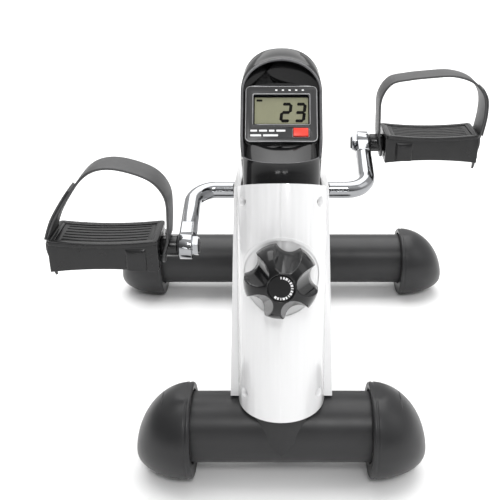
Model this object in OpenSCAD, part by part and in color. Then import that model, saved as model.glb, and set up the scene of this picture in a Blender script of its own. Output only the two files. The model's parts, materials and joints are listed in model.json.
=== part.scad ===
// Pedal exerciser: a small desk-side crank set on a two-bar base, with a brake knob and a counter.
// X runs across the machine, +Y away from the user, +Z up.
// The origin is on the floor, midway between the two foot tubes.

/* [Base] */
// Distance between the front and the rear foot tube
wheelbase = 333; // [300:1:360]
// Outer diameter of both foot tubes
tube_d = 60; // [56:1:62]
// Wall of the foot tubes
tube_wall = 1.8; // [1.5:0.1:2.5]
// Distance between the inner rims of the front caps
front_span = 149; // [130:1:180]
// Distance between the inner rims of the rear caps
rear_span = 289; // [260:1:320]
// Diameter of the round section of a foot cap
cap_d = 79; // [76:1:84]
// Length of a front cap along its tube
front_cap_len = 50; // [44:1:56]
// Length of a rear cap along its tube
rear_cap_len = 55; // [48:1:60]
// Diameter of the beam that joins the tubes
beam_d = 48; // [40:1:54]

/* [Column] */
// Backward lean of the column
lean = 13; // [8:0.5:16]
// Diameter of the upright post
post_d = 64; // [62:1:64]
// Height of the post above the front tube's axis, along the lean
post_top = 105; // [95:1:110]
// Radius of the half-round front of the housing
col_r = 35.7; // [35.5:0.1:37]
// Wall of the housing shells
shell = 2.5; // [2:0.1:2.8]
// Half width of the housing's rear part at its bottom
body_half_low = 42.6; // [41:0.1:44]
// Half width of the housing's rear part at its top
body_half_high = 37.6; // [37:0.1:39]

/* [Crank] */
// Radius from the crank axis to a pedal axis
crank_r = 76; // [70:1:80]
// Diameter of the crank's bar
crank_bar = 15; // [14:0.5:16]
// Distance of an arm's centre line from the middle plane
arm_x = 78; // [77:0.5:80]
// Angle of the right arm above the horizontal at rest
crank_angle = 16.5; // [0:0.5:30]

/* [Pedals] */
// Length of a pedal along its spindle
pedal_len = 87; // [86:1:90]
// Width of a pedal across the foot
pedal_w = 43; // [38:1:46]
// Height of a pedal at its ends
pedal_h = 27; // [25:1:28]
// Distance of a pedal's inner end from the middle plane
pedal_in = 98.4; // [98:0.2:99.4]
// Width of a strap
strap_w = 29; // [25:1:32]
// Thickness of a strap
strap_t = 2; // [1.6:0.1:2.4]

/* [Knob and counter] */
// Diameter of the tension knob over its lobes
knob_d = 57; // [52:1:58]
// How far the knob stands out of the column
knob_h = 28; // [26:1:29]
// Width of the counter
counter_w = 56; // [52:0.5:57]
// Height of the counter's face
counter_h = 47; // [44:0.5:48]

/* [Hidden] */
$fn = 64;

black = [0.07, 0.07, 0.08];
charcoal = [0.22, 0.22, 0.23];
white = [0.94, 0.94, 0.94];
steel = [0.6, 0.6, 0.62];
chrome = [0.8, 0.8, 0.82];

foot_y = wheelbase / 2;
tube_r = tube_d / 2;
cap_r = cap_d / 2 + 1.5;
tube_z = 43.2;
cap_z = cap_d / 2;
housing_z = 75;

// Places in the column's own frame: u runs back from the post's axis, w runs up along it
round_u = -7.5;
round_top = 214;
body_top = 207;
axle_u = 72;
axle_w = 194;
axle_arc = 27;
knob_w = 141;
ring_r = 32;
plate_in = 14;
plate_out = 17;
bearing_r = 13;
bush_r = 9.5;
journal_r = crank_bar / 2;
bearing_end = 33.5;
running = 0.05;
screw_u = -26.5;
upper_screw_w = 198;
lower_screw_w = 42;
rear_screws = [[76, 155], [54, 68]];
screw_head = 2.4;
boss_r = 5;
front_head = 24.5;
rear_head = 31.5;
neck_r = 32;
face_u = -4.7;
face_w = 263.1;
face_tilt = 63;
drum_r = 15.5;
flange_r = 22;
drum_half = 11;
lining_r = drum_r + 0.15;
band_r = lining_r + 2.5;
band_half = 9;
band_t = 1;
rod_r = 4;
rod_end = 46;
puller_u = 36;
anchor_u = 46;
anchor_w = 187;
spindle_r = 5.5;
pedal_bush_r = 7.2;
pedal_nut_r = 7;
tread_z = 7.6;
sleeve_r = 8.5;
pedal_mid = pedal_in + pedal_len / 2;
left_route = [[188, 9.2], [180, 28], [164, 52], [151, 66], [137, 71], [120, 69], [101, 61],
    [91, 47], [90, 28], [91.5, 9.2]];
right_route = [[188, 9.2], [191, 30], [189, 48], [178, 61], [159, 67], [136, 66], [118, 64], [102, 60], [93, 46],
    [92.5, 26], [93, 9.2]];

axle_y = -foot_y + axle_u * cos(lean) + axle_w * sin(lean);
axle_z = tube_z - axle_u * sin(lean) + axle_w * cos(lean);

// ---- Frames ----

// Stands the children on the front tube's axis, leaning back
module leaned() {
    translate([0, -foot_y, tube_z]) rotate([-lean, 0, 0]) children();
}

// Puts the children on the counter's face: X across, Y up the face, Z out of it
module on_face() {
    leaned() translate([0, face_u, face_w]) rotate([face_tilt, 0, 0]) children();
}

// Turns the children so that their Z runs along +X
module along_x() {
    rotate([0, 90, 0]) children();
}

// Extrudes a side view drawn as [back, up] across the machine
module side_view(half) {
    translate([-half, 0, 0]) rotate([90, 0, 90]) linear_extrude(2 * half) children();
}

// Bar of radius r along X, from x0 to x1, at [back, up]
module bar_x(x0, x1, at, r) {
    translate([x0, at[0], at[1]]) along_x() cylinder(r = r, h = x1 - x0);
}

// Keeps one side of the children: side is 1 for +X, -1 for -X
module one_side(side) {
    intersection() {
        children();
        translate([side > 0 ? 0 : -200, -400, -50]) cube([200, 800, 500]);
    }
}

// ---- Base ----

module foot_tube(y, len) {
    color(charcoal) difference() {
        bar_x(-len / 2, len / 2, [y, tube_z], tube_r);
        bar_x(-len / 2 - 1, len / 2 + 1, [y, tube_z], tube_r - tube_wall);
    }
}

module front_foot_tube() {
    foot_tube(-foot_y, front_span + 52);
}

module rear_foot_tube() {
    foot_tube(foot_y, rear_span + 52);
}

// Beam along the floor from one foot tube to the other, coped to both and to the post
module base_beam() {
    color(charcoal) difference() {
        translate([0, -foot_y, tube_z]) rotate([-90, 0, 0]) cylinder(d = beam_d, h = wheelbase);
        translate([0, -foot_y - 1, tube_z]) rotate([-90, 0, 0])
            cylinder(d = beam_d - 4, h = wheelbase + 2);
        bar_x(-60, 60, [-foot_y, tube_z], tube_r);
        bar_x(-60, 60, [foot_y, tube_z], tube_r);
        leaned() translate([0, 0, -40]) cylinder(d = post_d, h = 200);
    }
}

// Upright whose end is cut to a vee and coped over the front tube
module upright_post() {
    vee_drop = 12;
    color(charcoal) difference() {
        leaned() intersection() {
            translate([0, 0, -40]) cylinder(d = post_d, h = post_top + 40);
            rotate([90, 0, 0]) linear_extrude(2 * post_d, center = true)
                polygon([[0, -vee_drop], [70, 70 - vee_drop], [70, 140], [-70, 140], [-70, 70 - vee_drop]]);
        }
        leaned() translate([0, 0, 34]) cylinder(d = post_d - 5, h = post_top);
        bar_x(-60, 60, [-foot_y, tube_z], tube_r);
        leaned() bar_x(-50, 50, [screw_u, lower_screw_w], 1.6);
    }
}

// Egg-shaped foot: a low nose, a round rim and a flat sole; it opens towards -X
module foot_cap(len) {
    nose_z = 20;
    color([0.2, 0.2, 0.21]) difference() {
        intersection() {
            hull() for (t = [0, 10, 24, 38, 52, 66, 78, 88]) {
                s = cos(t);
                translate([2.5 + (len - 2.5) * sin(t), 0, nose_z + (cap_z - nose_z) * s]) along_x()
                    cylinder(r = max(cap_r * s, 2), h = 0.01, $fn = 40);
                translate([0, 0, cap_z]) along_x() cylinder(r = cap_r - 2, h = 0.01, $fn = 40);
            }
            translate([-1, -60, 0]) cube([100, 120, cap_d]);
        }
        bar_x(-1, 26, [0, tube_z], tube_r);
        bar_x(-1, 3, [0, tube_z], tube_r + 2);
    }
}

module front_cap_left() {
    translate([-front_span / 2, -foot_y, 0]) mirror([1, 0, 0]) foot_cap(front_cap_len);
}

module front_cap_right() {
    translate([front_span / 2, -foot_y, 0]) foot_cap(front_cap_len);
}

module rear_cap_left() {
    translate([-rear_span / 2, foot_y, 0]) mirror([1, 0, 0]) foot_cap(rear_cap_len);
}

module rear_cap_right() {
    translate([rear_span / 2, foot_y, 0]) foot_cap(rear_cap_len);
}

// ---- Crank bearing ----

// Plate and bearing tube on the +X side of the post
module bracket() {
    color(steel) difference() {
        union() {
            translate([plate_in, 0, 0]) rotate([90, 0, 90]) linear_extrude(plate_out - plate_in) {
                polygon([[20, 74], [44, 92], [64, 150], [86, 184.5], [72, axle_w],
                    [62, 207.7], [24, 182], [24, 104]]);
                translate([axle_u, axle_w]) circle(r = 17);
            }
            bar_x(plate_in, bearing_end, [axle_u, axle_w], bearing_r);
        }
        bar_x(plate_in - 1, bearing_end + 1, [axle_u, axle_w], bush_r);
        translate([0, 0, -40]) cylinder(d = post_d, h = 300);
        bar_x(0, plate_out + 1, [anchor_u, anchor_w], 2.5);
    }
}

module bracket_right() {
    leaned() bracket();
}

module bracket_left() {
    leaned() mirror([1, 0, 0]) difference() {
        bracket();
        bar_x(0, plate_out + 1, [axle_u - 20, axle_w], 3);
    }
}

module bush() {
    color("goldenrod") difference() {
        bar_x(plate_in, bearing_end, [axle_u, axle_w], bush_r);
        bar_x(plate_in - 1, bearing_end + 1, [axle_u, axle_w], journal_r + running);
    }
}

module bush_left() {
    leaned() mirror([1, 0, 0]) bush();
}

module bush_right() {
    leaned() bush();
}

// ---- Housing ----

// Outside of the housing, or its hollow when inset is the wall thickness
module housing_form(inset) {
    leaned() difference() {
        translate([0, round_u, 10]) cylinder(r = col_r - inset, h = round_top - 10 - inset);
        // the top edge falls from the front towards the flanks
        translate([-60, round_u, body_top - inset]) rotate([-11, 0, 0])
            translate([0, -60, 0]) cube([120, 60, 40]);
        // the hollow of the round front runs on through the step behind it
        translate([-60, round_u + 2 * inset, 0]) cube([120, 60, 300]);
    }
    leaned() intersection() {
        side_view(60) {
            tangent = -18;
            polygon([[round_u + inset, 20], [42 - inset, 20],
                [axle_u + (axle_arc - inset) * cos(tangent), axle_w + (axle_arc - inset) * sin(tangent)],
                [axle_u, axle_w],
                [axle_u, axle_w + axle_arc - inset],
                [round_u + inset, body_top - inset]]);
            translate([axle_u, axle_w]) circle(r = axle_arc - inset);
        }
        rotate([90, 0, 0]) linear_extrude(400, center = true)
            polygon([[-body_half_low + inset, 30], [body_half_low - inset, 30],
                [body_half_high - inset, body_top], [body_half_high - inset, 260],
                [-body_half_high + inset, 260], [-body_half_high + inset, body_top]]);
    }
}

// Bosses for the screws: through the neck at the top, against the post at the bottom, and two at the back
module screw_bosses() {
    leaned() {
        for (at = rear_screws) bar_x(-39, 39, at, boss_r);
        bar_x(-31, 31, [screw_u, upper_screw_w], boss_r);
        for (x = [-31, 23.5]) bar_x(x, x + 7.5, [screw_u, lower_screw_w], boss_r);
    }
}

// Holes for the screws and their heads; the sunk dimples stand mirrored on both flanks
module screw_holes() {
    leaned() {
        for (w = [upper_screw_w, lower_screw_w]) {
            bar_x(-60, -front_head, [screw_u, w], 4);
            bar_x(front_head, 60, [screw_u, w], 4);
        }
        bar_x(-15, 0, [screw_u, upper_screw_w], 1.55);
        bar_x(0, 60, [screw_u, upper_screw_w], 1.8);
        bar_x(-45, 45, [screw_u, lower_screw_w], 1.8);
        for (at = rear_screws) {
            bar_x(-60, -rear_head, at, 4);
            bar_x(-60, 0, at, 1.8);
            bar_x(0, 15, at, 1.55);
        }
    }
}

// Bead raised on the round front, in a ring behind the knob
module knob_ring() {
    leaned() difference() {
        intersection() {
            translate([0, round_u, knob_w - 40]) cylinder(r = col_r + 0.8, h = 80);
            translate([0, round_u, knob_w]) rotate([90, 0, 0]) cylinder(r = ring_r, h = 60);
        }
        translate([0, round_u, knob_w - 50]) cylinder(r = col_r - 1, h = 100);
        translate([0, round_u, knob_w]) rotate([90, 0, 0]) cylinder(r = ring_r - 2.5, h = 60);
    }
}

module housing() {
    difference() {
        union() {
            difference() {
                housing_form(0);
                housing_form(shell);
                leaned() {
                    translate([0, round_u, body_top - 20]) cylinder(r = neck_r + 0.3, h = 60);
                    translate([-neck_r - 0.3, round_u, body_top - 1]) cube([2 * neck_r + 0.6, 39, 60]);
                }
            }
            intersection() {
                screw_bosses();
                housing_form(1);
            }
            knob_ring();
            leaned() translate([0, round_u, knob_w]) rotate([90, 0, 0])
                translate([0, 0, col_r - 5]) cylinder(r = 9, h = 6);
        }
        leaned() {
            translate([0, -30, knob_w]) rotate([90, 0, 0]) cylinder(r = rod_r + 0.5, h = 30);
            bar_x(-60, 60, [axle_u, axle_w], 10.5);
        }
        screw_holes();
        translate([-100, -300, -10]) cube([200, 600, housing_z + 10]);
    }
}

module housing_left() {
    color(white) one_side(-1) housing();
}

module housing_right() {
    color(white) one_side(1) housing();
}

// Screw along X with a pan head; its head's outer face lies at x, and it drives towards the middle
module side_screw(side, x, at, len) {
    translate([side * x, at[0], at[1]]) rotate([0, -side * 90, 0]) difference() {
        union() {
            cylinder(r = 3.6, h = screw_head);
            cylinder(r = 1.5, h = len);
        }
        translate([0, 0, -0.1]) cylinder(r = 1.6, h = 1.5, $fn = 6);
    }
}

module housing_screws() {
    color(steel) leaned() {
        for (side = [-1, 1]) side_screw(side, front_head + screw_head, [screw_u, lower_screw_w], 10);
        side_screw(1, front_head + screw_head, [screw_u, upper_screw_w], 38);
        for (at = rear_screws) side_screw(-1, rear_head + screw_head, at, 44);
    }
}

// Round plugs that close the housing's side holes above the crank
module shoulder_plugs() {
    color(black) leaned() for (side = [-1, 1])
        translate([side * (body_half_high + 0.25), 22, 201.5]) rotate([0, side * 90, 0]) cylinder(r = 4.5, h = 2);
}

module knob_washer() {
    color(steel) leaned() translate([0, round_u - col_r - 1, knob_w]) rotate([90, 0, 0]) difference() {
        cylinder(r = 8, h = 1);
        translate([0, 0, -1]) cylinder(r = rod_r + 0.3, h = 3);
    }
}

// ---- Console ----

// Outside of the console, or its hollow when inset is above zero
module console_form(inset) {
    leaned() intersection() {
        union() {
            translate([0, round_u, 150]) cylinder(r = neck_r - inset, h = 220);
            translate([-neck_r + inset, round_u, 150]) cube([2 * (neck_r - inset), 60, 220]);
        }
        side_view(60) polygon([[-60, 180], [-60, 210], [-39 + inset, 228 - inset],
            [-22 + inset, 240.5 - inset], [-10 + inset, 265 - inset], [4.8 + inset, 290 - inset],
            [8.5 + inset, 306.5 - inset], [22 - inset, 315 - inset], [31, 310 - inset],
            [31, 231], [29, 209.5], [29, 180]]);
        translate([0, face_u, face_w]) rotate([face_tilt, 0, 0]) translate([0, 0, -90])
            linear_extrude(200) {
                translate([0, 25]) circle(r = neck_r + 0.5 - inset);
                translate([-neck_r - 0.5 + inset, -120]) square([2 * neck_r + 1 - 2 * inset, 145]);
            }
    }
}

// Body of the counter with its clearance in the pocket
module counter_block(gap, depth) {
    corner = 4;
    translate([0, 0, -depth]) linear_extrude(depth + 2) {
        square([counter_w + 2 * gap, counter_h + 2 * gap - 2 * corner], center = true);
        square([counter_w + 2 * gap - 2 * corner, counter_h + 2 * gap], center = true);
        for (x = [-1, 1])
            for (y = [-1, 1])
                translate([x * (counter_w / 2 - corner + gap), y * (counter_h / 2 - corner + gap)])
                    circle(r = corner);
    }
}

// Front shell of the console: neck, sloped face with the counter's pocket, and hood
module console_body() {
    color(black) difference() {
        union() {
            difference() {
                console_form(0);
                console_form(2.5);
            }
            // walls and floor of the counter's pocket
            intersection() {
                console_form(0.5);
                on_face() translate([0, 0, -14.5]) linear_extrude(13.5)
                    square([80, counter_h + 12], center = true);
            }
        }
        // sunk face inside the rim, rising to the hood
        on_face() intersection() {
            translate([0, 0, -1]) linear_extrude(60) {
                translate([0, 18]) circle(r = 29.5);
                translate([-29.5, -37]) square([59, 55]);
            }
            side_view(40) polygon([[-60, -1], [28, -1], [47, 8], [47, 60], [-60, 60]]);
        }
        on_face() counter_block(0.3, 12);
        on_face() translate([-10, -5, -20]) cube([20, 10, 15]);
        // the back is open for its cover, and the neck is open below
        leaned() translate([-28.5, 29, 212]) cube([57, 10, 86]);
        leaned() translate([0, round_u, 140]) cylinder(r = neck_r - 3, h = body_top - 139);
        leaned() bar_x(-45, 45, [screw_u, upper_screw_w], boss_r + 0.3);
    }
}

// Cover that closes the back of the console
module console_back() {
    color(black) leaned() difference() {
        translate([-28.2, 29, 212.3]) cube([56.4, 2, 85.4]);
        for (w = [222, 288]) translate([0, 20, w]) rotate([-90, 0, 0]) cylinder(r = 1.7, h = 20);
    }
}

module console_screws() {
    color(steel) leaned() for (w = [222, 288]) translate([0, 31, w]) rotate([90, 0, 0]) difference() {
        union() {
            translate([0, 0, -1.4]) cylinder(r = 3.2, h = 1.4);
            cylinder(r = 1.5, h = 7);
        }
        translate([0, 0, -1.6]) cylinder(r = 1.4, h = 1.2, $fn = 6);
    }
}

// ---- Counter ----

// Case, open at the front for the display and at the back for the battery
module counter_case() {
    color(black) on_face() difference() {
        counter_block(0, 11.5);
        translate([-22, -9, -1.6]) cube([44, 25.5, 8]);
        translate([-25, -20.5, -8.5]) cube([50, 41, 6.9]);
        translate([-21, -7.5, -3]) cube([42, 22.5, 8]);
        translate([9, -19.5, -3]) cube([12, 7, 8]);
        translate([0, 0, -13]) cylinder(r = 12.2, h = 6);
    }
}

module counter_window() {
    color([0.8, 0.85, 0.85, 0.4]) on_face() translate([-21.9, -8.9, 0.2]) cube([43.8, 25.3, 1.2]);
}

module counter_display() {
    color([0.5, 0.53, 0.42]) on_face() translate([-20.9, -7.4, -2.9]) cube([41.8, 22.3, 2]);
}

module circuit_board() {
    color("seagreen") on_face() translate([-24.5, -20, -4.6]) cube([49, 40, 1.6]);
}

module battery() {
    color(steel) on_face() translate([0, 0, -8.4]) cylinder(r = 10, h = 3.6);
}

module battery_cover() {
    color(black) on_face() translate([0, 0, -11.5]) cylinder(r = 12, h = 2.9);
}

// Key with a stem that reaches the switch on the board
module reset_button() {
    color("red") on_face() {
        translate([9.3, -19.2, -1.6]) cube([11.4, 6.4, 5.2]);
        translate([13, -17, -1.7]) cube([4, 2, 1]);
    }
}

module speed_sensor() {
    color(black) leaned() {
        bar_x(-24, -13.2, [axle_u - 20, axle_w], 2.95);
        bar_x(-20, -17, [axle_u - 20, axle_w], 4.5);
    }
}

// Lead from the sensor up the neck to the back of the counter's pocket
module sensor_lead() {
    route = [[-25.4, axle_u - 20, axle_w], [-25.4, 34, 198], [-20, 14, 207], [-12, 12, 225], [-4, 14, 250]];
    color(black) leaned() {
        for (i = [0 : len(route) - 2]) hull() {
            translate(route[i]) sphere(r = 1.3, $fn = 12);
            translate(route[i + 1]) sphere(r = 1.3, $fn = 12);
        }
    }
}

// ---- Brake ----

module brake_drum() {
    color([0.3, 0.3, 0.32]) leaned() difference() {
        union() {
            bar_x(-drum_half, drum_half, [axle_u, axle_w], drum_r);
            for (side = [-1, 1])
                bar_x(side > 0 ? drum_half - 1.5 : -drum_half, side > 0 ? drum_half : -drum_half + 1.5,
                    [axle_u, axle_w], flange_r);
        }
        bar_x(-drum_half - 1, drum_half + 1, [axle_u, axle_w], journal_r);
        bar_x(-drum_half - 1, -drum_half + 1, [axle_u, axle_w + 19.2], 2);
    }
}

module drum_magnet() {
    color(steel) leaned() bar_x(-drum_half - 0.8, -drum_half + 1, [axle_u, axle_w + 19.2], 2);
}

// Ring sector around the drum, from its top over the back to its bottom
module drum_wrap(inner, thick, half) {
    side_view(half) difference() {
        translate([axle_u, axle_w]) circle(r = inner + thick);
        translate([axle_u, axle_w]) circle(r = inner);
        translate([axle_u - 60, axle_w - 60]) square([60, 120]);
    }
}

// Steel band: anchored above, drawn forward below
module brake_band() {
    color(steel) leaned() {
        drum_wrap(band_r, band_t, band_half);
        side_view(band_half) {
            translate([30, axle_w - band_r - band_t]) square([axle_u - 30, band_t]);
            translate([anchor_u - 2, axle_w + band_r]) square([axle_u - anchor_u + 2, band_t]);
        }
    }
}

module band_lining() {
    color([0.35, 0.3, 0.25]) leaned() drum_wrap(lining_r, 2.5, band_half);
}

// Cross bar between the brackets with a lug that holds the band's fixed end
module band_anchor() {
    color(steel) leaned() {
        bar_x(-plate_in, plate_in, [anchor_u, anchor_w], 2.5);
        translate([-7, anchor_u - 2, anchor_w - 2]) cube([14, 7, axle_w + band_r + 2 - anchor_w]);
    }
}

// Threaded block that slides between the brackets and draws the band's lower end
module band_puller() {
    color(steel) leaned() difference() {
        translate([-plate_in + 0.3, puller_u - 4, knob_w - 8])
            cube([2 * plate_in - 0.6, 8, axle_w - band_r + 3 - knob_w + 8]);
        translate([0, 0, knob_w]) rotate([-90, 0, 0]) cylinder(r = rod_r + running, h = 80);
        translate([-band_half - 0.5, 0, axle_w - band_r - band_t - 0.4])
            cube([2 * band_half + 1, 80, band_t + 0.8]);
    }
}

module tension_rod() {
    color(steel) leaned() translate([0, round_u - col_r - knob_h + 12, knob_w]) rotate([-90, 0, 0])
        cylinder(r = rod_r, h = rod_end - round_u + col_r + knob_h - 12);
}

// Domed knob with five tilted round scoops, which leave five lobes at its rim
module tension_knob() {
    base = round_u - col_r - 2;
    dome_r = 21;
    flat_r = knob_d / 2 - dome_r;
    scoop_r = 11.5;
    scoop_tilt = 25.6;
    color(black) leaned() translate([0, base, knob_w]) rotate([90, 0, 0]) difference() {
        rotate_extrude() intersection() {
            union() {
                translate([flat_r, knob_h - dome_r]) circle(r = dome_r);
                square([flat_r, knob_h]);
                square([knob_d / 2, knob_h - dome_r]);
            }
            square([knob_d, knob_h]);
        }
        for (i = [0 : 4]) rotate([0, 0, 7 + 72 * i])
            translate([knob_d / 2 + 6.9, 0, 5]) rotate([0, -scoop_tilt, 0])
                translate([0, 0, -30]) cylinder(r = scoop_r, h = 80);
        translate([0, 0, knob_h - 3.5]) cylinder(r = 9.6, h = 5);
        translate([0, 0, -1]) cylinder(r = rod_r, h = knob_h - 11);
    }
}

module knob_cap() {
    color(black) leaned() translate([0, round_u - col_r - 2, knob_w]) rotate([90, 0, 0])
        translate([0, 0, knob_h - 3.5]) cylinder(r = 9.5, h = 3);
}

// ---- Crank ----

// Half of the crank on the +X side: axle, bend, arm and drilled eye; the arm points along +Y
module crank_half() {
    bend = 20;
    along_x() cylinder(d = crank_bar, h = arm_x - bend);
    translate([arm_x - bend, bend, 0]) rotate([0, 0, -90]) rotate_extrude(angle = 90)
        translate([bend, 0]) circle(d = crank_bar);
    translate([arm_x, bend, 0]) rotate([-90, 0, 0]) cylinder(d = crank_bar, h = crank_r - bend - 12);
    translate([arm_x - 5, crank_r - 22, -8]) cube([10, 22, 16]);
    bar_x(arm_x - 5, arm_x + 5, [crank_r, 0], 11);
}

module crank() {
    color(chrome) translate([0, axle_y, axle_z]) rotate([crank_angle, 0, 0]) difference() {
        union() {
            crank_half();
            rotate([0, 0, 180]) crank_half();
        }
        for (side = [-1, 1]) bar_x(side > 0 ? 60 : -100, side > 0 ? 100 : -60, [side * crank_r, 0], spindle_r);
    }
}

// Stands the children on a pedal's axis; side is 1 for the right pedal
module at_pedal(side) {
    translate([0, axle_y + side * crank_r * cos(crank_angle), axle_z + side * crank_r * sin(crank_angle)])
        mirror([side > 0 ? 0 : 1, 0, 0]) children();
}

module spindle() {
    color([0.25, 0.25, 0.26]) {
        bar_x(arm_x - 11, pedal_in + pedal_len - 6, [0, 0], spindle_r);
        bar_x(arm_x + 5, arm_x + 6.5, [0, 0], 8);
    }
}

module spindle_left() {
    at_pedal(-1) spindle();
}

module spindle_right() {
    at_pedal(1) spindle();
}

module spindle_nut() {
    color(chrome) difference() {
        translate([arm_x - 10, 0, 0]) along_x() cylinder(r = 8.5, h = 5, $fn = 6);
        bar_x(arm_x - 12, arm_x, [0, 0], spindle_r);
    }
}

module spindle_nut_left() {
    at_pedal(-1) spindle_nut();
}

module spindle_nut_right() {
    at_pedal(1) spindle_nut();
}

// ---- Pedals ----

// Block of the pedal, waisted along its length above and below
module pedal_form() {
    waist = 2.6;
    waist_r = (pedal_len * pedal_len / 4 + waist * waist) / (2 * waist);
    difference() {
        translate([pedal_in, -pedal_w / 2, -pedal_h / 2]) cube([pedal_len, pedal_w, pedal_h]);
        for (side = [-1, 1])
            translate([pedal_mid, 0, side * (pedal_h / 2 - waist + waist_r)]) rotate([90, 0, 0])
                cylinder(r = waist_r, h = pedal_w + 2, center = true, $fn = 720);
    }
}

module pedal() {
    color(black) difference() {
        pedal_form();
        // recess for the tread, and the hollow underside around the bearing tube
        translate([pedal_in + 5, -pedal_w / 2 + 4, tread_z]) cube([pedal_len - 10, pedal_w - 8, 20]);
        difference() {
            translate([pedal_in + 3, -pedal_w / 2 + 2.5, -20]) cube([pedal_len - 6, pedal_w - 5, 23.5]);
            bar_x(pedal_in, pedal_in + pedal_len, [0, 0], 10.5);
            for (x = [pedal_in + 28, pedal_in + pedal_len - 30])
                translate([x, -30, -20]) cube([2, 60, 40]);
        }
        bar_x(pedal_in - 1, pedal_in + 10, [0, 0], pedal_bush_r);
        bar_x(pedal_in + pedal_len - 22, pedal_in + pedal_len + 1, [0, 0], pedal_bush_r);
        bar_x(pedal_in - 1, pedal_in + pedal_len + 1, [0, 0], 6.5);
    }
}

module pedal_left() {
    at_pedal(-1) pedal();
}

module pedal_right() {
    at_pedal(1) pedal();
}

// Grooved pad set into the pedal's top
module tread() {
    color([0.12, 0.12, 0.12]) difference() {
        intersection() {
            translate([pedal_in + 5.2, -pedal_w / 2 + 4.2, tread_z]) cube([pedal_len - 10.4, pedal_w - 8.4, 10]);
            translate([0, 0, -0.6]) pedal_form();
        }
        for (i = [-2.5 : 2.5])
            translate([pedal_in + 9, i * 5.4 - 0.7, 8.5]) cube([pedal_len - 18, 1.4, 10]);
    }
}

module tread_left() {
    at_pedal(-1) tread();
}

module tread_right() {
    at_pedal(1) tread();
}

module pedal_bushes() {
    color("goldenrod") for (x = [pedal_in, pedal_in + pedal_len - 22]) difference() {
        bar_x(x, x + 10, [0, 0], pedal_bush_r);
        bar_x(x - 1, x + 11, [0, 0], spindle_r + running);
    }
}

module pedal_bushes_left() {
    at_pedal(-1) pedal_bushes();
}

module pedal_bushes_right() {
    at_pedal(1) pedal_bushes();
}

// Dust sleeve between the arm and the pedal's inner end
module pedal_sleeve() {
    color(black) difference() {
        bar_x(arm_x + 7, pedal_in, [0, 0], sleeve_r);
        bar_x(arm_x, pedal_in + 1, [0, 0], spindle_r + 0.3);
    }
}

module pedal_sleeve_left() {
    at_pedal(-1) pedal_sleeve();
}

module pedal_sleeve_right() {
    at_pedal(1) pedal_sleeve();
}

// Nut at the spindle's outer end, inside the pedal
module pedal_nut() {
    color(steel) difference() {
        translate([pedal_in + pedal_len - 11.5, 0, 0]) along_x()
            cylinder(r = pedal_nut_r, h = 5, $fn = 6);
        bar_x(pedal_in + pedal_len - 13, pedal_in + pedal_len, [0, 0], spindle_r);
    }
}

module pedal_nut_left() {
    at_pedal(-1) pedal_nut();
}

module pedal_nut_right() {
    at_pedal(1) pedal_nut();
}

// Points of a smooth curve through the route's points, n to each stretch
function between(a, b, c, d, t) =
    (2 * b + (c - a) * t + (2 * a - 5 * b + 4 * c - d) * t * t + (3 * b - a - 3 * c + d) * t * t * t) / 2;
function smooth(p, n) = [for (i = [0 : len(p) - 2], k = [0 : i == len(p) - 2 ? n : n - 1])
    between(p[max(i - 1, 0)], p[i], p[i + 1], p[min(i + 2, len(p) - 1)], k / n)];

// The curve's points moved sideways by the given distance
function beside(p, by) = [for (i = [0 : len(p) - 1])
    let (d = p[min(i + 1, len(p) - 1)] - p[max(i - 1, 0)])
    p[i] + by * [d[1], -d[0]] / norm(d)];
function backwards(p) = [for (i = [len(p) - 1 : -1 : 0]) p[i]];

// Strap over the foot, along a route of [out, up] points, with a tab to each end of the pedal
module strap(route) {
    line = smooth(route, 6);
    inner_leg = route[len(route) - 1][0];
    color([0.28, 0.28, 0.29]) rotate([90, 0, 0]) linear_extrude(strap_w, center = true) {
        polygon(concat(beside(line, strap_t / 2), backwards(beside(line, -strap_t / 2))));
        translate([inner_leg, 9.2]) square([pedal_in - inner_leg, 2.4]);
        translate([pedal_in + pedal_len, 9.2]) square([route[0][0] - pedal_in - pedal_len, 2.4]);
    }
}

module strap_left() {
    at_pedal(-1) strap(left_route);
}

module strap_right() {
    at_pedal(1) strap(right_route);
}

front_foot_tube();
rear_foot_tube();
base_beam();
upright_post();
bracket_left();
bracket_right();
bush_left();
bush_right();
front_cap_left();
front_cap_right();
rear_cap_left();
rear_cap_right();
housing_left();
housing_right();
housing_screws();
shoulder_plugs();
knob_washer();
console_body();
console_back();
console_screws();
counter_case();
counter_window();
counter_display();
circuit_board();
battery();
battery_cover();
reset_button();
speed_sensor();
sensor_lead();
brake_drum();
drum_magnet();
brake_band();
band_lining();
band_anchor();
tension_rod();
tension_knob();
knob_cap();
band_puller();
crank();
spindle_left();
spindle_right();
spindle_nut_left();
spindle_nut_right();
pedal_left();
pedal_right();
tread_left();
tread_right();
pedal_bushes_left();
pedal_bushes_right();
pedal_sleeve_left();
pedal_sleeve_right();
pedal_nut_left();
pedal_nut_right();
strap_left();
strap_right();
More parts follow.
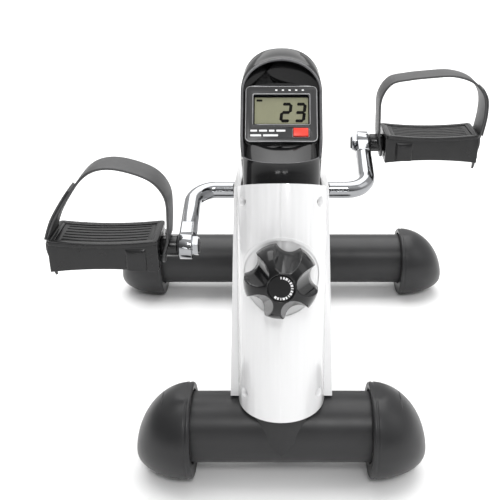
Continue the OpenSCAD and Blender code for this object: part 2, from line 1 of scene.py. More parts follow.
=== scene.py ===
"""Looks of the pedal exerciser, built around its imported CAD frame."""
import json
import math
import bmesh
import bpy
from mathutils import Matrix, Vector


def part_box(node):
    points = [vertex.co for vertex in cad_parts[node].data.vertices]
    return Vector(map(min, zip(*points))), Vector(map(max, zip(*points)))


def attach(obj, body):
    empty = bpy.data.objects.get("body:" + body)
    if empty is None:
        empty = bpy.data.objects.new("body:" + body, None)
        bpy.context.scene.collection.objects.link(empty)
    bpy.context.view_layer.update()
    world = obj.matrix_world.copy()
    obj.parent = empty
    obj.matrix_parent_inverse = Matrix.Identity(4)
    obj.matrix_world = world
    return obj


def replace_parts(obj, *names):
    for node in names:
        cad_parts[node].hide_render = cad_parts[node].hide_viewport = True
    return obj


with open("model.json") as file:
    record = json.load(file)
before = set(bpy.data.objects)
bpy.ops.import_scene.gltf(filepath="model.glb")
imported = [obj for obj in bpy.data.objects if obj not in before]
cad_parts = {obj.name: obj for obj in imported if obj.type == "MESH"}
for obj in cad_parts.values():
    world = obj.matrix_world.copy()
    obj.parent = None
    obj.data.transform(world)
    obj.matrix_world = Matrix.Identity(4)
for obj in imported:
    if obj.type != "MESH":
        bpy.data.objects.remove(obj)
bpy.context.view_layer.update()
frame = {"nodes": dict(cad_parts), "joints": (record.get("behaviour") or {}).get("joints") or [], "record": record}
nodes = frame["nodes"]
joints = {j["name"]: j for j in frame["joints"]}
body_of = {n: b for b, members in frame["record"]["behaviour"]["bodies"].items() for n in members}
MM = 0.001


# ---- Places, worked out from the frame; lengths in these calls are millimetres ----

def centre(node):
    low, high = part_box(node)
    return (low + high) / 2


CASE_MIDDLE = 4.75
COLUMN_BACK = Vector(joints["knob_turn"]["axis"]).normalized()
COLUMN_UP = Vector((0, -COLUMN_BACK.z, COLUMN_BACK.y))
COLUMN_FOOT = centre("front_foot_tube")
FACE_OUT = Vector(joints["counter_pull"]["axis"]).normalized()
FACE_UP = Vector((0, FACE_OUT.z, -FACE_OUT.y))
FACE_CENTRE = centre("counter_case") + FACE_OUT * CASE_MIDDLE * MM


def on_column(x, back, up):
    """A point in the column's frame: across, back from the post's axis, and up along the lean."""
    return COLUMN_FOOT + (Vector((x, 0, 0)) + back * COLUMN_BACK + up * COLUMN_UP) * MM


def on_face(x, up, out):
    """A point in the counter's frame: across, up the face, and out of it."""
    return FACE_CENTRE + (Vector((x, 0, 0)) + up * FACE_UP + out * FACE_OUT) * MM


def on_pedal(side, x, back, up):
    """A point in a pedal's frame; x is the distance from the middle plane."""
    pivot = Vector(joints["pedal_right_spin" if side > 0 else "pedal_left_spin"]["pos_m"])
    return Vector((side * x * MM, pivot.y + back * MM, pivot.z + up * MM))


# ---- Materials ----

def shade_nodes(name):
    made = bpy.data.materials.new(name)
    made.use_nodes = True
    tree = made.node_tree
    shader = tree.nodes["Principled BSDF"]
    coords = tree.nodes.new("ShaderNodeTexCoord")
    return made, tree, shader, coords


def noise(tree, coords, scale, detail=4):
    """Noise in object coordinates."""
    made = tree.nodes.new("ShaderNodeTexNoise")
    made.inputs["Scale"].default_value = scale
    made.inputs["Detail"].default_value = detail
    tree.links.new(coords.outputs["Object"], made.inputs["Vector"])
    return made.outputs["Fac"]


def finish(name, colour, rough, metallic=0.0, coat=0.0, mottle=(40, 0.1), rough_swing=0.05,
           grain=(800, 0.1, 0.05), **sockets):
    """A procedural finish: mottled colour, uneven roughness and a fine grain in the surface.

    mottle is (scale, swing of the colour); grain is (scale, strength, depth in millimetres)."""
    made, tree, shader, coords = shade_nodes(name)
    ramp = tree.nodes.new("ShaderNodeValToRGB")
    ramp.color_ramp.elements[0].position = 0.3
    ramp.color_ramp.elements[1].position = 0.7
    for element, gain in zip(ramp.color_ramp.elements, (1 - mottle[1], 1 + mottle[1])):
        element.color = tuple(min(1, c * gain) for c in colour) + (1,)
    tree.links.new(noise(tree, coords, mottle[0]), ramp.inputs["Fac"])
    tree.links.new(ramp.outputs["Color"], shader.inputs["Base Color"])
    swing = tree.nodes.new("ShaderNodeMapRange")
    swing.inputs["To Min"].default_value = max(0.02, rough - rough_swing)
    swing.inputs["To Max"].default_value = rough + rough_swing
    tree.links.new(noise(tree, coords, mottle[0] * 2.3), swing.inputs["Value"])
    tree.links.new(swing.outputs["Result"], shader.inputs["Roughness"])
    bump = tree.nodes.new("ShaderNodeBump")
    bump.inputs["Strength"].default_value = grain[1]
    bump.inputs["Distance"].default_value = grain[2] * MM
    tree.links.new(noise(tree, coords, grain[0], 6), bump.inputs["Height"])
    tree.links.new(bump.outputs["Normal"], shader.inputs["Normal"])
    shader.inputs["Metallic"].default_value = metallic
    shader.inputs["Coat Weight"].default_value = coat
    shader.inputs["Coat Roughness"].default_value = 0.06
    for socket, value in sockets.items():
        shader.inputs[socket.replace("_", " ")].default_value = value
    return made


finishes = {
    "frame_paint": finish("powder_coat", (0.021, 0.021, 0.022), 0.38, grain=(1500, 0.25, 0.05),
                          Specular_IOR_Level=0.35),
    "bracket_paint": finish("satin_paint", (0.06, 0.06, 0.063), 0.4),
    "cap_rubber": finish("moulded_cap", (0.018, 0.018, 0.019), 0.36, grain=(2200, 0.2, 0.04),
                         Specular_IOR_Level=0.35),
    "housing_white": finish("white_plastic", (0.77, 0.77, 0.775), 0.22, coat=0.5, mottle=(12, 0.012),
                            grain=(60, 0.05, 0.1)),
    "zinc_steel": finish("zinc", (0.55, 0.56, 0.58), 0.3, metallic=1.0, mottle=(120, 0.15)),
    "counter_black": finish("counter_plastic", (0.012, 0.012, 0.013), 0.32, grain=(2500, 0.15, 0.03)),
    "console_black": finish("console_plastic", (0.008, 0.008, 0.0085), 0.14, mottle=(25, 0.15),
                            rough_swing=0.03, grain=(70, 0.04, 0.1), Specular_IOR_Level=0.35),
    "window_clear": finish("clear_window", (0.95, 0.97, 0.95), 0.05, rough_swing=0.02, mottle=(30, 0.01),
                           grain=(40, 0.02, 0.05), Transmission_Weight=1.0, IOR=1.15, Alpha=0.04),
    "lcd": finish("display_glass", (0.2, 0.2, 0.12), 0.35, mottle=(90, 0.05), grain=(4000, 0.1, 0.02)),
    "board_green": finish("solder_mask", (0.03, 0.16, 0.06), 0.35, mottle=(300, 0.3)),
    "button_red": finish("red_key", (0.78, 0.035, 0.015), 0.35, mottle=(60, 0.05)),
    "lead_black": finish("lead_sheath", (0.015, 0.015, 0.015), 0.45),
    "drum_iron": finish("turned_iron", (0.2, 0.2, 0.21), 0.35, metallic=1.0, mottle=(400, 0.2)),
    "felt": finish("pressed_felt", (0.2, 0.17, 0.13), 0.95, mottle=(500, 0.4), grain=(1800, 1.0, 0.4)),
    "bush_nylon": finish("nylon", (0.68, 0.65, 0.56), 0.4, mottle=(80, 0.05)),
    "knob_black": finish("knob_plastic", (0.007, 0.007, 0.0075), 0.12, mottle=(30, 0.15),
                         rough_swing=0.03, grain=(70, 0.04, 0.1), Specular_IOR_Level=0.35),
    "crank_chrome": finish("chrome", (0.3, 0.305, 0.315), 0.1, metallic=1.0, mottle=(70, 0.06),
                           rough_swing=0.04, grain=(200, 0.03, 0.05)),
    "spindle_black": finish("black_oxide", (0.03, 0.03, 0.032), 0.35, metallic=0.7),
    "pedal_black": finish("pedal_plastic", (0.011, 0.011, 0.0115), 0.24, mottle=(60, 0.15),
                          grain=(1800, 0.2, 0.04), Specular_IOR_Level=0.35),
    "tread_rubber": finish("tread", (0.013, 0.013, 0.0135), 0.36, grain=(2200, 0.3, 0.05),
                           Specular_IOR_Level=0.3),
    "strap_rubber": finish("strap", (0.042, 0.042, 0.043), 0.45, mottle=(90, 0.12),
                           grain=(1600, 0.3, 0.06)),
}
print_white = finish("white_print", (0.8, 0.8, 0.8), 0.5, mottle=(200, 0.05))
# Light grey finish for the counter case's bevel faces: a painted highlight along its rounded edges.
painted_highlight_case_edges = finish("painted_highlight_case_edges", (0.42, 0.42, 0.43), 0.25, mottle=(120, 0.2))
# Grey finish for the bevel and rim faces of black parts: a painted highlight along the pedals' edges and the
# console's rim.
painted_highlight_black_edges = finish("painted_highlight_black_edges", (0.1, 0.1, 0.105), 0.25, mottle=(120, 0.2))
segment_black = finish("lcd_segment", (0.006, 0.006, 0.005), 0.4, mottle=(200, 0.1),
                       Specular_IOR_Level=0.05)


# ---- Meshes ----

def piece(name, bm, body, slot, look=None, smooth=35):
    """Makes a piece from a bmesh: it rides on a body and takes a slot's finish."""
    bmesh.ops.recalc_face_normals(bm, faces=bm.faces)
    limit = math.radians(smooth)
    for face in bm.faces:
        face.smooth = True
    for edge in bm.edges:
        edge.smooth = edge.calc_face_angle(0) < limit
    mesh = bpy.data.meshes.new(name)
    bm.to_mesh(mesh)
    bm.free()
    made = bpy.data.objects.new(name, mesh)
    bpy.context.scene.collection.objects.link(made)
    mesh.materials.append(look or finishes[slot])
    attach(made, body)
    return made


def rounded(made, width, segments=3):
    """Rounds the weighted edges of a piece."""
    bevel = made.modifiers.new("rounding", "BEVEL")
    bevel.limit_method = "WEIGHT"
    bevel.width = width * MM
    bevel.segments = segments
    bevel.use_clamp_overlap = True
    bevel.harden_normals = True
    bevel.miter_outer = "MITER_ARC"
    return made


def softened(node, slot, width, segments=3, seam=None, painted_edge_look=None):
    """Shows a CAD node with its sharp edges rounded; edges on the middle plane take the seam's width. A given edge
    finish goes on the bevel faces as a painted highlight.
    """
    bm = bmesh.new()
    bm.from_mesh(nodes[node].data)
    bmesh.ops.remove_doubles(bm, verts=bm.verts, dist=0.002 * MM)
    bmesh.ops.dissolve_limit(bm, angle_limit=math.radians(0.5), verts=bm.verts, edges=bm.edges)
    weights = bm.edges.layers.float.new("bevel_weight_edge")
    for edge in bm.edges:
        if edge.calc_face_angle(0) > math.radians(28):
            on_seam = seam is not None and all(abs(v.co.x) < 0.01 * MM for v in edge.verts)
            edge[weights] = seam / width if on_seam else 1.0
    made = rounded(piece(node + "_shape", bm, body_of[node], slot, smooth=28), width, segments)
    for edge in made.data.edges:
        edge.use_edge_sharp = False
    # Bevel faces take the edge finish: a painted highlight along the rounded edges.
    if painted_edge_look:
        made.data.materials.append(painted_edge_look)
        made.modifiers[0].material = 1
    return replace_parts(made, node)


def loft(bm, rings, closed=True, cap_start=False, cap_end=False, looped=False):
    """Joins rings of points with quads; looped joins the last ring to the first."""
    rows = [[bm.verts.new(p) for p in ring] for ring in rings]
    count = len(rows[0])
    for low, high in zip(rows, rows[1:] + (rows[:1] if looped else [])):
        for i in range(count if closed else count - 1):
            j = (i + 1) % count
            bm.faces.new((low[i], low[j], high[j], high[i]))
    if cap_start:
        bm.faces.new(rows[0])
    if cap_end:
        bm.faces.new(list(reversed(rows[-1])))
    return rows


def outline_plate(bm, outline, place, low, high):
    """A plate from an outline of (a, b) points, between two heights, through place(a, b, height)."""
    rings = [[place(a, b, h) for a, b in outline] for h in (low, high)]
    loft(bm, rings, cap_start=True, cap_end=True)


def rounded_box_outline(half_a, half_b, corner, at=(0, 0), steps=6):
    """Points of a rectangle with round corners."""
    points = []
    for quarter, (sa, sb) in enumerate(((1, 1), (-1, 1), (-1, -1), (1, -1))):
        for k in range(steps + 1):
            angle = math.radians(90 * quarter + 90 * k / steps)
            points.append((at[0] + sa * (half_a - corner) + corner * math.cos(angle),
                           at[1] + sb * (half_b - corner) + corner * math.sin(angle)))
    return points


# ---- Base ----

def foot_cap(node):
    """Smooth egg-shaped foot: round rim with a bead and a groove, domed end and flat sole."""
    low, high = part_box(node)
    side = 1 if low.x > 0 else -1
    length = (high.x - low.x) / MM
    rim_x = min(abs(low.x), abs(high.x))
    mid_y = (low.y + high.y) / 2
    cap_r, cap_z, nose_z, tube_z, top = 41.0, 39.5, 20.0, 43.2, 79.0
    edge = 0.9

    def soft_clip(z):
        z = (z + math.sqrt(z * z + edge * edge)) / 2
        gap = top - z
        return top - (gap + math.sqrt(gap * gap + edge * edge)) / 2

    def ring(x, radius, z, clip=True):
        points = []
        for k in range(96):
            angle = 2 * math.pi * k / 96
            height = z + radius * math.sin(angle)
            points.append((side * (rim_x + x * MM), mid_y + radius * math.cos(angle) * MM,
                           (soft_clip(height) if clip else height) * MM))
        return points

    rings = [ring(26, 30.05, tube_z, False), ring(3, 30.05, tube_z, False), ring(3, 31.6, tube_z, False),
             ring(0.5, 32, tube_z, False), ring(0.2, 32.6, tube_z, False)]
    rim = [(0.2, -2.7), (0.0, -2.1), (0.25, -1.2), (0.9, -0.5), (1.9, -0.15), (3.0, -0.15), (3.7, -0.5),
           (4.2, -0.62), (4.8, -0.45), (5.4, -0.1)]
    rings += [ring(x, cap_r + dr, cap_z) for x, dr in rim]
    for step in range(1, 40):
        t = math.radians(2.0 + 87.9 * step / 39)
        x = 2.5 + (length - 2.5) * math.sin(t)
        if x > 5.6:
            rings.append(ring(x, cap_r * math.cos(t), nose_z + (cap_z - nose_z) * math.cos(t)))
    bm = bmesh.new()
    loft(bm, rings, cap_end=True)
    made = piece(node + "_shape", bm, body_of[node], "cap_rubber", smooth=50)
    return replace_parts(made, node)


# ---- Console ----

NECK_R = 32.0
NECK_BACK = -7.5
LIP_SWEEP = 75


def blend_points(stops, place):
    """Linear interpolation through stops of (key, value)."""
    for (k0, v0), (k1, v1) in zip(stops, stops[1:]):
        if place <= k1:
            return v0 + (v1 - v0) * (place - k0) / (k1 - k0)
    return stops[-1][1]


def console_loop(lip_r, lip_up, lip_rise, side, dome_back, dome_up, half, power=2.0, shift=0.0):
    """A closed loop round the console: the lip's arc, up one side, over the hood and down the other.

    side lists the side edge as (up, back) stops; shift moves the whole loop forward."""
    right = []
    for k in range(13):
        sweep = math.radians(LIP_SWEEP * k / 13)
        right.append((lip_r * math.sin(sweep), NECK_BACK - lip_r * math.cos(sweep) - shift,
                      lip_up + lip_rise * (k / 13) ** 2))
    low, high = side[0][0], side[-1][0]
    start_x = lip_r * math.sin(math.radians(LIP_SWEEP))
    for k in range(12):
        up = low + (high - low) * k / 12
        right.append((start_x + (half - start_x) * min(1, k / 4), blend_points(side, up) - shift, up))
    for k in range(19):
        turn = math.radians(90 * k / 18)
        c, sn = math.cos(turn) ** (2 / power), math.sin(turn) ** (2 / power)
        back = side[-1][1] + (dome_back - side[-1][1]) * sn
        right.append((half * c, back - shift, high + (dome_up - high) * sn))
    left = [(-x, back, up) for x, back, up in reversed(right[1:-1])]
    return [on_column(*p) for p in right + left]


def face_loop(like, half, low, high, arch, corner, out):
    """A loop on the counter's face with as many points as another: flat below, arched above."""
    outline = rounded_box_outline(half, (high - low) / 2, corner, (0, (high + low) / 2), 8)
    start = min(range(len(outline)), key=lambda i: (abs(outline[i][1] - low) > 0.01, abs(outline[i][0])))
    ordered = [(0, low)] + outline[start:] + outline[:start] + [(0, low)]
    lengths = [0]
    for before, after in zip(ordered, ordered[1:]):
        lengths.append(lengths[-1] + math.dist(before, after))
    if ordered[1][0] < 0:
        ordered = [(-x, y) for x, y in ordered]
    count = len(like)
    loop = []
    for k in range(count):
        target = lengths[-1] * k / count
        i = max(j for j in range(len(lengths)) if lengths[j] <= target + 1e-9)
        i = min(i, len(ordered) - 2)
        span = lengths[i + 1] - lengths[i]
        t = (target - lengths[i]) / span if span > 0 else 0
        x = ordered[i][0] + (ordered[i + 1][0] - ordered[i][0]) * t
        up = ordered[i][1] + (ordered[i + 1][1] - ordered[i][1]) * t
        lift = arch * (1 - (x / half) ** 2) * max(0, (up - low) / (high - low)) ** 8
        loop.append(on_face(x, up + lift, out))
    return loop


def console():
    """Console shell: neck, lip, rim, hood and the sunk face with the counter's pocket."""
    rim_side = [(231.5, -15.8), (245, -14.8), (263, -6.4), (281, 1.5)]

    def rim(inset, shift, rise=0.0):
        return console_loop(NECK_R - inset, 228 + rise, 3.5, rim_side, 8.5, 306.5 - inset,
                            NECK_R - inset, 2.0, shift)

    outer = rim(0, -0.9)
    neck = [console_loop(NECK_R, up, 0, [(up, NECK_BACK + 3)] + rim_side[1:], 11 + k, 308 + k,
                         NECK_R, 2.1, -1.4) for k, up in enumerate((226.5, 218))]
    hood = [
        console_loop(NECK_R, 200, 0, [(200, 6), (240, 14), (281, 16)], 16, 311.5, NECK_R + 0.1, 2.2),
        console_loop(NECK_R, 186, 0, [(186, 16), (240, 24), (282, 21)], 22, 314.6, NECK_R + 0.1, 2.3),
        console_loop(NECK_R, 183, 0, [(183, 22), (240, 28.6), (280, 28.6)], 28, 313, NECK_R - 0.3, 2.3),
        console_loop(NECK_R - 0.8, 183, 0, [(183, 24), (240, 30.6), (279, 30.6)], 30.6, 309.8,
                     NECK_R - 1.4, 2.3),
    ]
    rings = list(reversed(hood)) + list(reversed(neck))
    rings += [outer, rim(0.25, -0.3, 0.35), rim(0.9, 0.1, 0.7), rim(1.6, 0.0, 0.6), rim(2.2, -0.5, 0.2)]
    inner = rim(2.7, -1.6, -0.6)
    rings.append(inner)
    for half, low, high, arch, corner, out in (
            (29.4, -28.0, 50.5, 0.0, 24.0, -0.6), (28.9, -27.2, 49.0, 0.0, 24.0, -1.0),
            (28.9, -24.9, 24.2, 3.4, 5.0, -1.0), (28.75, -24.5, 24.0, 3.2, 4.8, -0.6),
            (28.5, -24.2, 23.9, 2.6, 4.6, -0.6), (28.4, -24.0, 23.9, 0.0, 4.4, -1.0),
            (28.35, -23.9, 23.85, 0.0, 4.4, -11.8)):
        rings.append(face_loop(inner, half, low, high, arch, corner, out))
    bm = bmesh.new()
    loft(bm, rings, cap_end=True)
    # The rim's crest rings take the lighter grey finish: a painted highlight along the console's rim.
    crest = range(rings.index(outer) + 1, rings.index(inner) - 1)
    for i, face in enumerate(bm.faces):
        if i // len(inner) in crest:
            face.material_index = 1
    made = piece("console_shell", bm, "frame", "console_black", smooth=40)
    made.data.materials.append(painted_highlight_black_edges)
    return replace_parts(made, "console_body")


# ---- Counter; printed marks lie between two heights over the face ----

DISPLAY_PRINT = (-0.88, -0.8)
CASE_PRINT = (2.0, 2.08)


def seven_segments(bm, digit, x, up, width, height, thick):
    """One slanted digit made of bars on the display."""
    lit = {2: "abged", 3: "abgcd"}[digit]
    half_w, half_h = width / 2, height / 2
    bars = {"a": ((-half_w, half_h), (half_w, half_h)), "g": ((-half_w, 0), (half_w, 0)),
            "d": ((-half_w, -half_h), (half_w, -half_h)), "b": ((half_w, half_h), (half_w, 0)),
            "c": ((half_w, 0), (half_w, -half_h)), "e": ((-half_w, 0), (-half_w, -half_h))}
    slant = 0.1
    for name in lit:
        start, end = (Vector(p) for p in bars[name])
        along = (end - start).normalized()
        across = Vector((-along.y, along.x)) * thick / 2
        start, end = start + along * thick * 0.35, end - along * thick * 0.35
        corners = [start + across, start - across, end - across, end + across]
        tips = [start - along * thick * 0.3, end + along * thick * 0.3]
        outline = [tips[0], corners[1], corners[2], tips[1], corners[3], corners[0]]
        outline_plate(bm, [(x + p.x + slant * p.y, up + p.y) for p in outline], on_face, *DISPLAY_PRINT)


def counter_marks():
    """Digits and a marker on the display, and plain marks where the case has its legends."""
    bm = bmesh.new()
    seven_segments(bm, 2, 3.6, 2.2, 6.6, 14.2, 2.5)
    seven_segments(bm, 3, 14.6, 2.2, 6.6, 14.2, 2.5)
    outline_plate(bm, rounded_box_outline(2.3, 0.9, 0.3, (-17.2, 12.4), 2), on_face, *DISPLAY_PRINT)
    piece("display_digits", bm, "counter", "lcd", segment_black)
    bm = bmesh.new()
    for i in range(5):
        outline_plate(bm, rounded_box_outline(0.9, 0.55, 0.25, (-4 + 5.2 * i, 19.9), 2), on_face, *CASE_PRINT)
    for row, (start, lengths) in enumerate(((-24, (5.2, 6.2, 4.2, 7)), (-24, (8.4, 11.5)))):
        x = start
        for length in lengths:
            at = (x + length / 2, -14.4 - 3.9 * row)
            outline_plate(bm, rounded_box_outline(length / 2, 0.8, 0.4, at, 3), on_face, *CASE_PRINT)
            x += length + 1.5
    piece("case_marks", bm, "counter", "counter_black", print_white)


# ---- Knob ----

KNOB_OVER = 28.5
KNOB_DOME = 21.0
KNOB_HEIGHT = 28.0
SCOOPS = 5
SCOOP_START = 7
SCOOP_TILT = 25.6
SCOOP_R = 11.5
SCOOP_AWAY = KNOB_OVER + 6.4
SCOOP_STRAIGHT = 5


def on_knob(x, up, out):
    """A point in the knob's frame; out is measured from the knob's back."""
    cap_middle = KNOB_HEIGHT - 2
    return centre("knob_cap") + (Vector((x, 0, 0)) + up * COLUMN_UP - (out - cap_middle) * COLUMN_BACK) * MM


def knob_reach(angle, out, plain):
    """Distance from the axis to the knob's surface: the plain radius less the five tilted scoops."""
    tilt = math.radians(SCOOP_TILT)
    away = SCOOP_AWAY - max(out - SCOOP_STRAIGHT, 0) * math.tan(tilt)
    long_half = SCOOP_R / math.cos(tilt)
    reach = plain
    for k in range(SCOOPS):
        turn = angle - math.radians(SCOOP_START + 360 / SCOOPS * k)
        c, sn = math.cos(turn), math.sin(turn)
        if c <= 0:
            continue
        qa = (c / long_half) ** 2 + (sn / SCOOP_R) ** 2
        qb = -2 * away * c / long_half ** 2
        qc = (away / long_half) ** 2 - 1
        inside = qb * qb - 4 * qa * qc
        if inside > 0:
            near = (-qb - math.sqrt(inside)) / (2 * qa)
            ease = 0.9
            overlap = max(ease - abs(reach - near), 0) / ease
            reach = min(reach, near) - overlap * overlap * ease / 4
    return reach


def knob():
    """Domed knob with five scoops; a thin bead runs round its cap."""
    dome_in = KNOB_OVER - KNOB_DOME
    levels = [(0.0, KNOB_OVER - 1.2), (0.25, KNOB_OVER - 0.5), (0.9, KNOB_OVER)]
    levels += [(KNOB_HEIGHT - KNOB_DOME + KNOB_DOME * math.sin(math.radians(a)),
                dome_in + KNOB_DOME * math.cos(math.radians(a))) for a in [2 + 2.6 * k for k in range(30)]]
    bead = [(out - 0.35, r) for out, r in ((28.0, 11.5), (28.25, 11.2), (28.35, 10.8), (28.2, 10.4),
                                           (27.9, 10.1), (27.4, 9.9), (26.0, 9.7))]
    bm = bmesh.new()
    rings = []
    for out, plain in [(0.0, 6.0)] + levels + bead:
        ring = []
        for k in range(360):
            angle = 2 * math.pi * k / 360
            reach = plain if plain < 12 else knob_reach(angle, out, plain)
            ring.append(on_knob(reach * math.cos(angle), reach * math.sin(angle), out))
        rings.append(ring)
    loft(bm, rings, cap_start=True, cap_end=True)
    made = piece("knob_shape", bm, "tension", "knob_black", smooth=60)
    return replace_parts(made, "tension_knob")


def knob_marks():
    """Ring of ticks on the knob's cap."""
    bm = bmesh.new()
    face = centre("knob_cap") - COLUMN_BACK * 1.5 * MM

    def on_cap(a, b, out):
        return face + (Vector((a, 0, 0)) + b * COLUMN_UP - out * COLUMN_BACK) * MM

    for k in range(15):
        angle = math.radians(92 - 15.4 * k)
        along = Vector((math.cos(angle), math.sin(angle)))
        across = Vector((-along.y, along.x))
        width = 0.35 + 0.25 * (k % 3)
        corners = [along * 7.0 - across * width, along * 8.8 - across * width,
                   along * 8.8 + across * width, along * 7.0 + across * width]
        outline_plate(bm, [tuple(c) for c in corners], on_cap, 0.0, 0.06)
    piece("knob_ticks", bm, "tension", "knob_black", print_white)


# ---- Straps ----

LEFT_ROUTE = [(188, 8.2), (180, 28), (164, 52), (151, 66), (137, 71), (120, 69), (101, 61),
              (91, 47), (90, 28), (91.5, 8.2)]
RIGHT_ROUTE = [(188, 8.2), (191, 30), (189, 48), (178, 61), (159, 67), (136, 66), (118, 64),
               (102, 60), (93, 46), (92.5, 26), (93, 8.2)]
STRAP_HALF = 14.5
STRAP_THICK = 2.0
TAIL_TIP = 1.2


def smooth_line(points, steps):
    """Catmull-Rom curve through points of (a, b)."""
    line = []
    for i in range(len(points) - 1):
        a, b = Vector(points[max(i - 1, 0)]), Vector(points[i])
        c, d = Vector(points[i + 1]), Vector(points[min(i + 2, len(points) - 1)])
        for k in range(steps + (i == len(points) - 2)):
            t = k / steps
            line.append((2 * b + (c - a) * t + (2 * a - 5 * b + 4 * c - d) * t * t
                         + (3 * b - a - 3 * c + d) * t ** 3) / 2)
    return line


def ribbon(bm, side, line, half_width):
    """A flat strip along a line of (out, up) points; half_width(t) gives its shape from end to end."""
    rings = []
    for i, point in enumerate(line):
        before, after = line[max(i - 1, 0)], line[min(i + 1, len(line) - 1)]
        along = (after - before).normalized()
        out = Vector((along.y, -along.x))
        half = half_width(i / (len(line) - 1))
        section = rounded_box_outline(half, STRAP_THICK / 2, 0.8, steps=3)
        rings.append([on_pedal(side, (point + out * n).x, w, (point + out * n).y) for w, n in section])
    loft(bm, rings, cap_start=True, cap_end=True)


def strap(side):
    """Strap over the foot: the band, its overlapping outer end with a pointed tail, and the inner tongue."""
    name = "strap_right" if side > 0 else "strap_left"
    body = "pedal_right" if side > 0 else "pedal_left"
    pedal_low, pedal_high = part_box(body)
    outer_end = max(abs(pedal_low.x), abs(pedal_high.x)) / MM
    inner_end = min(abs(pedal_low.x), abs(pedal_high.x)) / MM
    route = smooth_line(RIGHT_ROUTE if side > 0 else LEFT_ROUTE, 12)
    bm = bmesh.new()
    ribbon(bm, side, route, lambda t: STRAP_HALF)
    start = route[0]
    tail = smooth_line([(start.x, 8.5), (outer_end + 3.0, 2), (outer_end + 1.9, -6), (outer_end + 2.4, -15),
                        (outer_end + 2.8, -21), (outer_end + 2.2, -26)], 6)

    def tail_half(t):
        return STRAP_HALF * (1 - 0.35 * t) if t < 0.55 else max(TAIL_TIP, STRAP_HALF * 0.8 * (1.24 - 1.2 * t))

    ribbon(bm, side, tail, tail_half)
    over = [p + Vector((2.15, 0)) for p in route[2:30]]
    if side < 0:
        over = [p + Vector((1.9, 1.0)) for p in route[2:24]]
    ribbon(bm, side, over, lambda t: STRAP_HALF - 1.2 - 3.5 * max(0, t - 0.8) / 0.2)
    end = route[-1]
    tongue = smooth_line([(end.x, 8.5), (inner_end - 4.5, 2), (inner_end - 2.6, -5),
                          (inner_end - 2.2, -13)], 6)
    ribbon(bm, side, tongue, lambda t: STRAP_HALF * math.sqrt(max(0.05, 1 - (max(0, t - 0.4) / 0.6) ** 2)))
    made = piece(name + "_shape", bm, body, "strap_rubber")
    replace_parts(made, name)
    studs = bmesh.new()
    profile = [(0.0, 2.0), (3.4, 2.0), (4.2, 1.4), (4.4, 0.7)]
    for up in (1.5, -13):
        rings = [[on_pedal(side, outer_end + x, r * math.cos(a), up + r * math.sin(a))
                  for a in (2 * math.pi * k / 20 for k in range(20))] for x, r in profile]
        loft(studs, rings, cap_start=True, cap_end=True)
    piece(name + "_studs", studs, body, "pedal_black", smooth=40)
    return made


# ---- Pedals ----

def pedal_top(x, node):
    """Height of the waisted pedal's top at x."""
    low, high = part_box(node)
    half_h = (high.z - low.z) / 2 / MM
    inner, outer = (min(abs(low.x), abs(high.x)) / MM, max(abs(low.x), abs(high.x)) / MM)
    share = 2 * (x - (inner + outer) / 2) / (outer - inner)
    return half_h - 2.6 * (1 - share * share)


def pedal_trim(side):
    """Lip round the pedal's top and the rounded bosses on its long sides."""
    body = "pedal_right" if side > 0 else "pedal_left"
    low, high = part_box(body)
    inner, outer = (min(abs(low.x), abs(high.x)) / MM, max(abs(low.x), abs(high.x)) / MM)
    half_len, half_w = (outer - inner) / 2, (high.y - low.y) / 2 / MM
    middle = (outer + inner) / 2
    bm = bmesh.new()
    path = []
    corners = rounded_box_outline(half_len, half_w, 3.0, steps=5)
    for here, following in zip(corners, corners[1:] + corners[:1]):
        steps = max(1, int(math.dist(here, following) / 3))
        path += [Vector(here).lerp(Vector(following), k / steps) for k in range(steps)]
    rings = []
    for i, point in enumerate(path):
        along = (path[(i + 1) % len(path)] - path[i - 1]).normalized()
        out = Vector((along.y, -along.x))
        top = pedal_top(middle + point.x, body)
        section = rounded_box_outline(1.9, 1.9, 0.8, (-0.9, -1.55), 3)
        rings.append([on_pedal(side, middle + (point + out * a).x, (point + out * a).y, top + b)
                      for a, b in section])
    loft(bm, rings, looped=True)
    piece(body + "_lip", bm, body, "pedal_black", smooth=60)
    bm = bmesh.new()
    boss_x, boss_half, boss_h, depth, count = inner + 17.5, 8.5, 9.0, 2.4, 20
    for face in (-1, 1):
        rings = []
        for i in range(count + 1):
            a = -1 + 2 * i / count
            ring = []
            for j in range(count + 1):
                b = -1 + 2 * j / count
                swell = max(0, 1 - abs(a) ** 3) ** 0.5 * max(0, 1 - max(0, b) ** 3) ** 0.5
                ring.append(on_pedal(side, boss_x + a * boss_half, face * (half_w - 0.3 + depth * swell),
                                     -2.2 + b * boss_h))
            rings.append(ring)
        loft(bm, rings, closed=False)
    piece(body + "_bosses", bm, body, "pedal_black", smooth=60)


# ---- Stage, light and camera ----

def area_light(name, size, at, aim, power):
    data = bpy.data.lights.new(name, "AREA")
    data.shape = "RECTANGLE"
    data.size, data.size_y = size
    data.energy = power
    made = bpy.data.objects.new(name, data)
    bpy.context.scene.collection.objects.link(made)
    made.location = at
    made.rotation_euler = (Vector(aim) - Vector(at)).to_track_quat("-Z", "Y").to_euler()
    return made


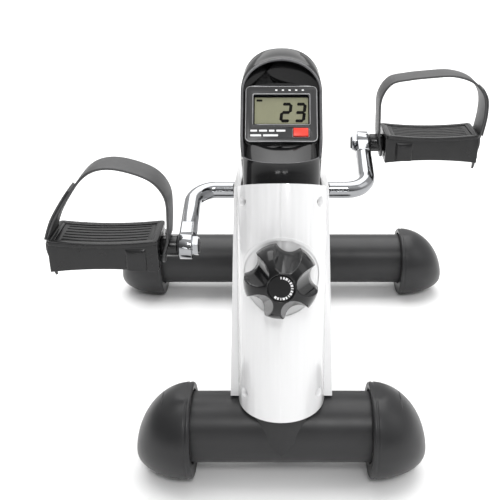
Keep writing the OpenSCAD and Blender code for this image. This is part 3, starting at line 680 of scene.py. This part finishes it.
def sky():
    """World light: bright from above and behind on the right, dim from the front on the left."""
    world = bpy.data.worlds.new("studio")
    bpy.context.scene.world = world
    world.use_nodes = True
    tree = world.node_tree
    background = tree.nodes["Background"]
    coords = tree.nodes.new("ShaderNodeTexCoord")
    toward = tree.nodes.new("ShaderNodeVectorMath")
    toward.operation = "DOT_PRODUCT"
    toward.inputs[1].default_value = Vector((0.4, 0.45, 0.8)).normalized()
    ramp = tree.nodes.new("ShaderNodeValToRGB")
    stops = ((0.0, 0.1), (0.42, 0.22), (0.56, 0.5), (0.72, 0.95), (1.0, 0.8))
    elements = ramp.color_ramp.elements
    while len(elements) < len(stops):
        elements.new(0.5)
    for element, (place, light) in zip(elements, stops):
        element.position = place
        element.color = (light, light, light, 1)
    widen = tree.nodes.new("ShaderNodeMapRange")
    widen.inputs["From Min"].default_value = -1
    tree.links.new(coords.outputs["Generated"], toward.inputs[0])
    tree.links.new(toward.outputs["Value"], widen.inputs["Value"])
    tree.links.new(widen.outputs["Result"], ramp.inputs["Fac"])
    tree.links.new(ramp.outputs["Color"], background.inputs["Color"])
    background.inputs["Strength"].default_value = 1.0


def studio():
    """Pale floor, the sky, four panes and four strips in front, and two large soft lights."""
    bm = bmesh.new()
    half = 15
    bm.faces.new([bm.verts.new((x * half, y * half, 0)) for x, y in ((-1, -1), (1, -1), (1, 1), (-1, 1))])
    mesh = bpy.data.meshes.new("floor")
    bm.to_mesh(mesh)
    bm.free()
    floor = bpy.data.objects.new("floor", mesh)
    bpy.context.scene.collection.objects.link(floor)
    mesh.materials.append(finish("pale_floor", (0.95, 0.95, 0.95), 0.8, mottle=(3, 0.004),
                                 grain=(40, 0.02, 0.1)))
    sky()
    aim = (0, 0, 0.15)
    for column in (0, 1):
        for row in (0, 1):
            place = (0.02 + 0.22 * column, -1.5, 1.5 + 0.26 * row)
            area_light("pane_%d_%d" % (column, row), (0.15, 0.19), place, aim, 2.4)
            strip = (-0.28 + 0.56 * column, -1.7, 0.281 + 0.023 * row)
            area_light("strip_%d_%d" % (column, row), (0.34, 0.016), strip, (0, -0.17, 0.225), 0.35)
    area_light("side", (0.9, 0.9), (1.4, -0.5, 1.2), aim, 2.5)
    area_light("top", (3.5, 3.5), (0, 1.2, 3.0), (0, 0.8, 0), 110)
    bpy.context.scene.view_settings.view_transform = "Standard"


def camera():
    """View from in front and above, on the middle plane."""
    data = bpy.data.cameras.new("camera")
    data.lens = 55.15
    data.sensor_width = 36
    data.shift_x = -0.0628
    made = bpy.data.objects.new("camera", data)
    bpy.context.scene.collection.objects.link(made)
    made.location = (0, COLUMN_FOOT.y - 0.5311, 0.4573)
    made.rotation_euler = (math.radians(65), 0, 0)
    bpy.context.scene.camera = made


# ---- Assembly ----

slots = {
    "frame_paint": ["front_foot_tube", "rear_foot_tube", "base_beam", "upright_post"],
    "bracket_paint": ["bracket_left", "bracket_right"],
    "zinc_steel": ["housing_screws", "knob_washer", "console_screws", "battery", "drum_magnet", "brake_band",
                   "band_anchor", "tension_rod", "band_puller", "pedal_nut_left", "pedal_nut_right"],
    "bush_nylon": ["bush_left", "bush_right", "pedal_bushes_left", "pedal_bushes_right"],
    "console_black": ["shoulder_plugs", "console_back"],
    "knob_black": ["knob_cap"],
    "window_clear": ["counter_window"],
    "lcd": ["counter_display"],
    "board_green": ["circuit_board"],
    "counter_black": ["battery_cover", "speed_sensor"],
    "lead_black": ["sensor_lead"],
    "drum_iron": ["brake_drum"],
    "felt": ["band_lining"],
    "spindle_black": ["spindle_left", "spindle_right"],
}
for slot, names in slots.items():
    for name in names:
        nodes[name].data.materials.clear()
        nodes[name].data.materials.append(finishes[slot])

for name in ("front_cap_left", "front_cap_right", "rear_cap_left", "rear_cap_right"):
    foot_cap(name)
for name in ("housing_left", "housing_right"):
    softened(name, "housing_white", 0.9, seam=0.4)
console()
knob()
# The counter case's bevel faces take a light grey finish: a painted highlight along its edges.
softened("counter_case", "counter_black", 0.7, painted_edge_look=painted_highlight_case_edges)
softened("reset_button", "button_red", 0.6)
softened("crank", "crank_chrome", 1.0)
for side in ("left", "right"):
    softened("spindle_nut_" + side, "crank_chrome", 0.5)
    # The pedals' bevel faces take a lighter grey finish: a painted highlight along their edges.
    softened("pedal_" + side, "pedal_black", 1.0, painted_edge_look=painted_highlight_black_edges)
    softened("tread_" + side, "tread_rubber", 0.35, 2)
    softened("pedal_sleeve_" + side, "pedal_black", 0.6)
counter_marks()
knob_marks()
for side in (-1, 1):
    strap(side)
    pedal_trim(side)

studio()
camera()
